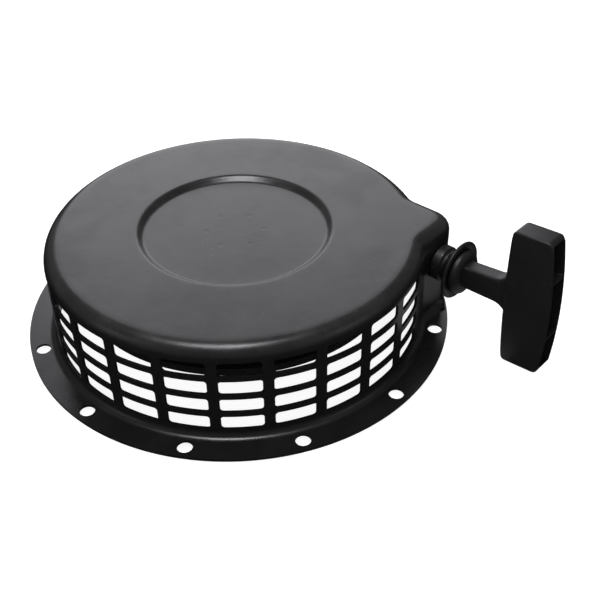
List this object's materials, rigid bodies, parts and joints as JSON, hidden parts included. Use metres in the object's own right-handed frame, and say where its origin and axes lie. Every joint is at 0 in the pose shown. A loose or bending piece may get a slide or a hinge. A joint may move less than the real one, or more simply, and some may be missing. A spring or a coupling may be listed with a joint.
{
  "type": "recoil starter",
  "caption": "Recoil starter: slotted pressed-steel drum on a flange, with a corner nose, flared rope guide and T-handle; inside are a sprung rope reel and swinging pawls.",
  "frame": {"origin": "on the reel's axis, in the plane of the flange's seating face", "axes": "+X is the way the rope is pulled, +Z points away from the engine along the reel's axis"},
  "size_m": [0.3099, 0.265, 0.0912],
  "materials": {
    "black_paint": "satin black paint on pressed steel",
    "black_plastic": "moulded black plastic, slight sheen",
    "reel_plastic": "moulded black plastic, matt",
    "zinc_plate": "zinc-plated steel",
    "spring_steel": "oiled spring steel",
    "bronze": "sintered bronze",
    "rope": "braided nylon rope"
  },
  "bodies": {
    "housing": {"housing": "black_paint", "post_plate": "zinc_plate", "reel_post": "zinc_plate", "rope_guide": "black_plastic", "guide_clip": "spring_steel", "thrust_washer": "zinc_plate", "friction_spring": "spring_steel", "friction_washer": "zinc_plate", "centre_bolt": "zinc_plate"},
    "reel": {"reel": "reel_plastic", "reel_bush": "bronze", "spring_case": "zinc_plate", "rewind_spring": "spring_steel", "spring_cover": "zinc_plate", "rope_winding": "rope", "rope_reel_knot": "rope", "pawl_pin_a": "zinc_plate", "pawl_pin_b": "zinc_plate", "pawl_spring_a": "spring_steel", "pawl_spring_b": "spring_steel"},
    "ratchet_guide": {"ratchet_guide": "zinc_plate"},
    "pawl_a": {"pawl_a": "zinc_plate"},
    "pawl_b": {"pawl_b": "zinc_plate"},
    "rope_end": {"rope_lead": "rope", "knot_washer": "zinc_plate", "rope_handle_knot": "rope"},
    "grip": {"grip": "black_plastic"}
  },
  "joints": [
    {"name": "reel_spin", "type": "hinge", "parent": "housing", "child": "reel", "pos_m": [0, 0, 0.0395], "axis": [0, 0, 1], "range_deg": [-1080, 0], "stiffness_Nm_per_rad": 0.05, "springref_deg": 359.82, "deforming": ["rewind_spring"]},
    {"name": "handle_pull", "type": "slide", "parent": "housing", "child": "rope_end", "axis": [1, 0, 0], "range_m": [0, 1.316], "deforming": ["rope_lead"]},
    {"name": "handle_swivel", "type": "hinge", "parent": "rope_end", "child": "grip", "pos_m": [0.121, 0.0785, 0.0395], "axis": [0.9984, 0, 0.0558], "continuous": true},
    {"name": "guide_turn", "type": "hinge", "parent": "reel", "child": "ratchet_guide", "pos_m": [0, 0, 0.026], "axis": [0, 0, 1], "range_deg": [0, 30]},
    {"name": "pawl_a_swing", "type": "hinge", "parent": "reel", "child": "pawl_a", "pos_m": [0, 0.035, 0.0315], "axis": [0, 0, 1], "range_deg": [0, 20.1]},
    {"name": "pawl_b_swing", "type": "hinge", "parent": "reel", "child": "pawl_b", "pos_m": [0, -0.035, 0.0315], "axis": [0, 0, 1], "range_deg": [0, 20.1]}
  ],
  "couplings": [
    {"joint": "handle_pull", "follows": "reel_spin", "m_per_rad": -0.0698},
    {"joint": "pawl_a_swing", "follows": "guide_turn", "ratio": 0.66667},
    {"joint": "pawl_b_swing", "follows": "guide_turn", "ratio": 0.66667}
  ]
}
